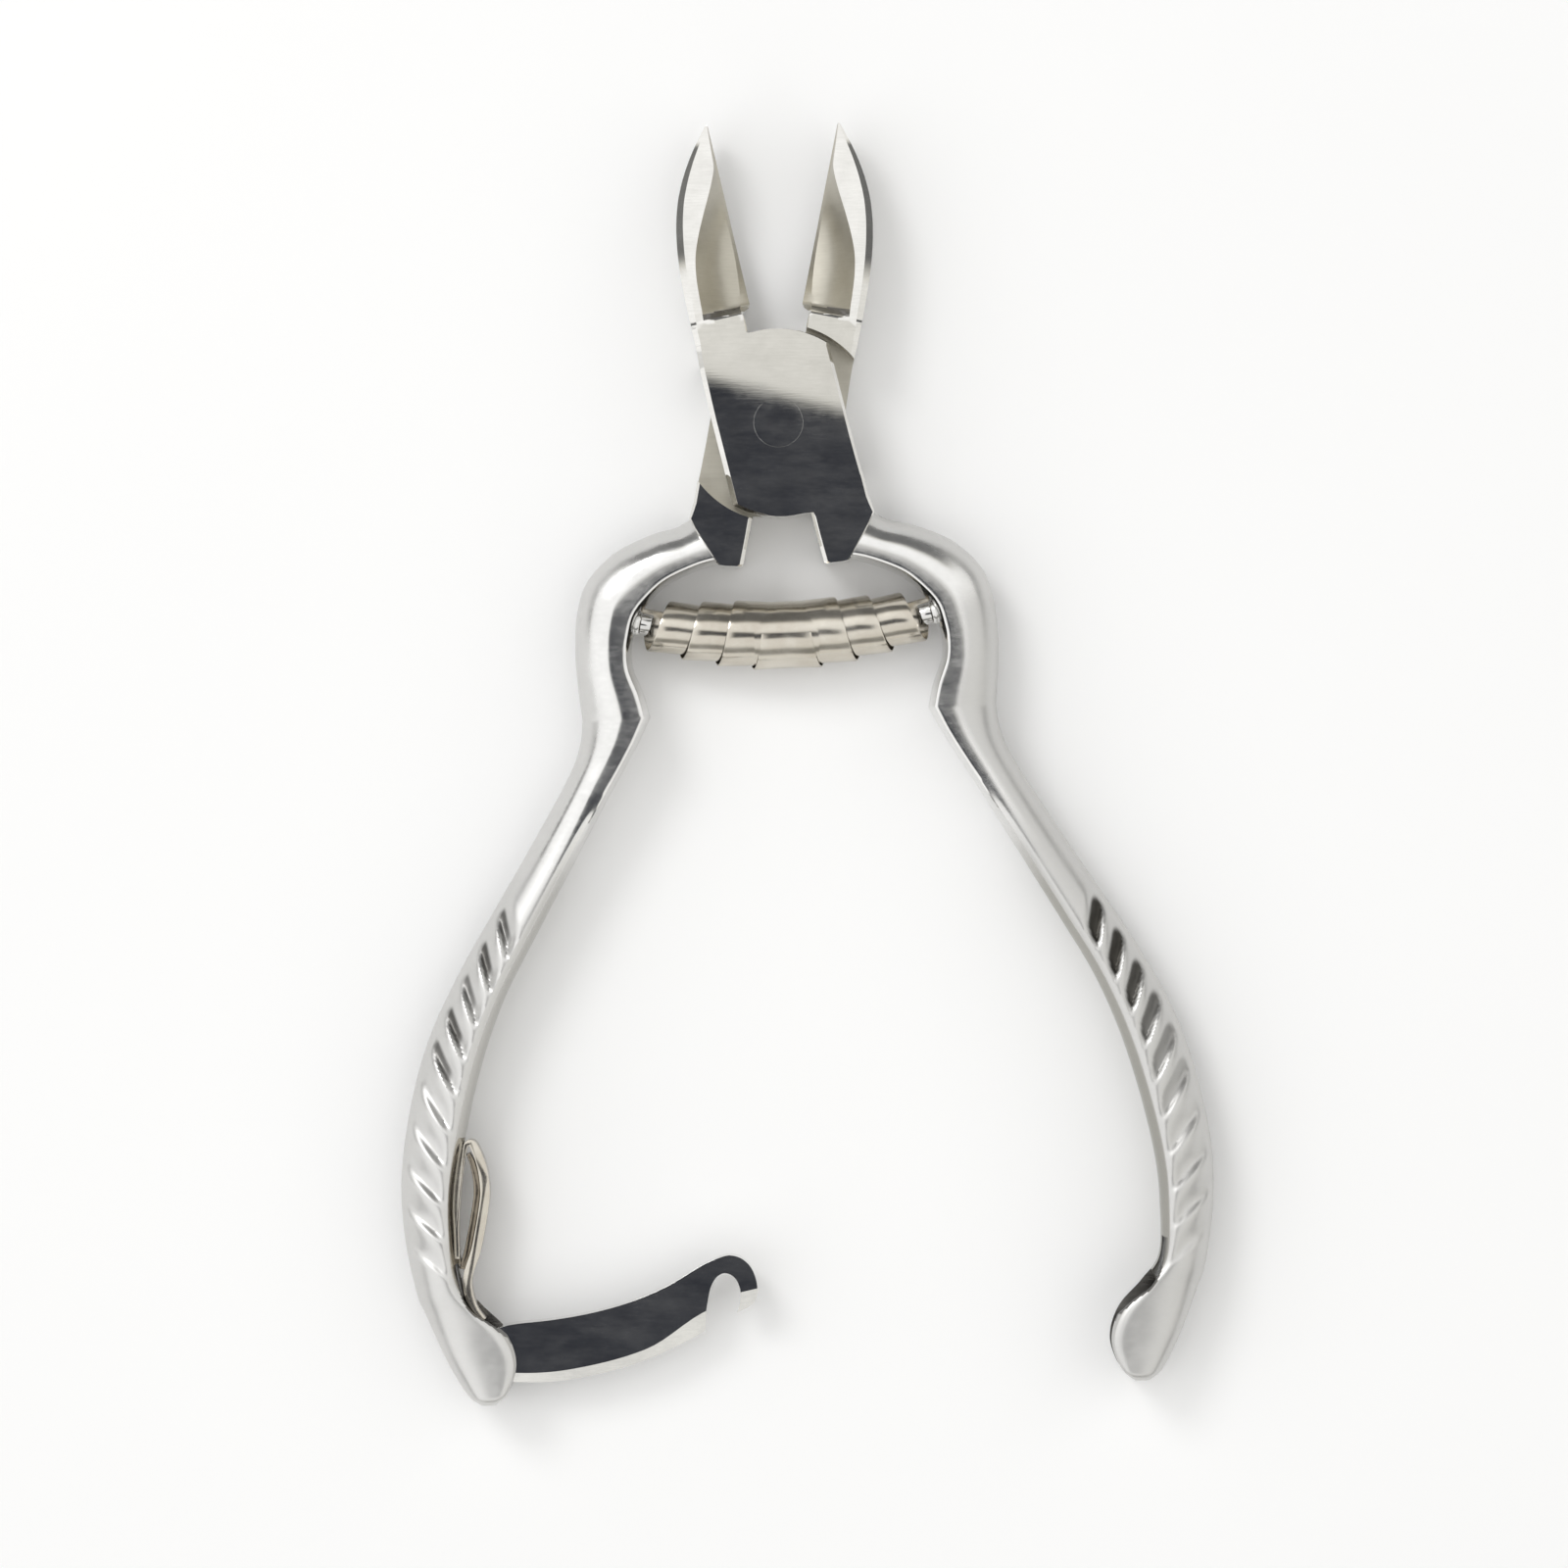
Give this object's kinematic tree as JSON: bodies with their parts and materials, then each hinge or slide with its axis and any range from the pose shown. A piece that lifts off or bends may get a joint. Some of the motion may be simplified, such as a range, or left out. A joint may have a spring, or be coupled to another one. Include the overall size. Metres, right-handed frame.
{
  "type": "nail nipper",
  "caption": "Steel nail nipper: two crossed levers on a ground-flush rivet, barrel spring between the handles and a hook lock at their ends.",
  "frame": {"origin": "on the joint's pivot axis, at the underside of the joint, which is the plane that the nipper rests on", "axes": "+Y towards the jaws, +Z through the joint towards the front lever, +X to the right with the front lever's handle on that side"},
  "size_m": [0.0859, 0.1354, 0.0084],
  "materials": {
    "satin_steel": "forged stainless steel, polished at the joint and arches and satin on the grips",
    "polished_steel": "mirror polished stainless steel",
    "spring_steel": "bright rolled spring strip with a faint nickel tint"
  },
  "bodies": {
    "front_lever": {"front_lever": "satin_steel", "joint_rivet": "polished_steel", "front_spring_post": "polished_steel", "catch_pin": "polished_steel", "barrel_spring": "spring_steel"},
    "rear_lever": {"rear_lever": "satin_steel", "rear_spring_post": "polished_steel", "lock_pivot_pin": "polished_steel", "lock_spring": "spring_steel"},
    "lock_lever": {"lock_lever": "polished_steel"}
  },
  "joints": [
    {"name": "main_pivot", "type": "hinge", "parent": "front_lever", "child": "rear_lever", "pos_m": [0, 0, 0.0042], "axis": [0, 0, 1], "range_deg": [0, 24.2], "stiffness_Nm_per_rad": 1.2, "deforming": ["barrel_spring"]},
    {"name": "lock_pivot", "type": "hinge", "parent": "rear_lever", "child": "lock_lever", "pos_m": [-0.03039, -0.09854, 0.0042], "axis": [0, 0, -1], "range_deg": [0, 22.7], "stiffness_Nm_per_rad": 0.02}
  ]
}
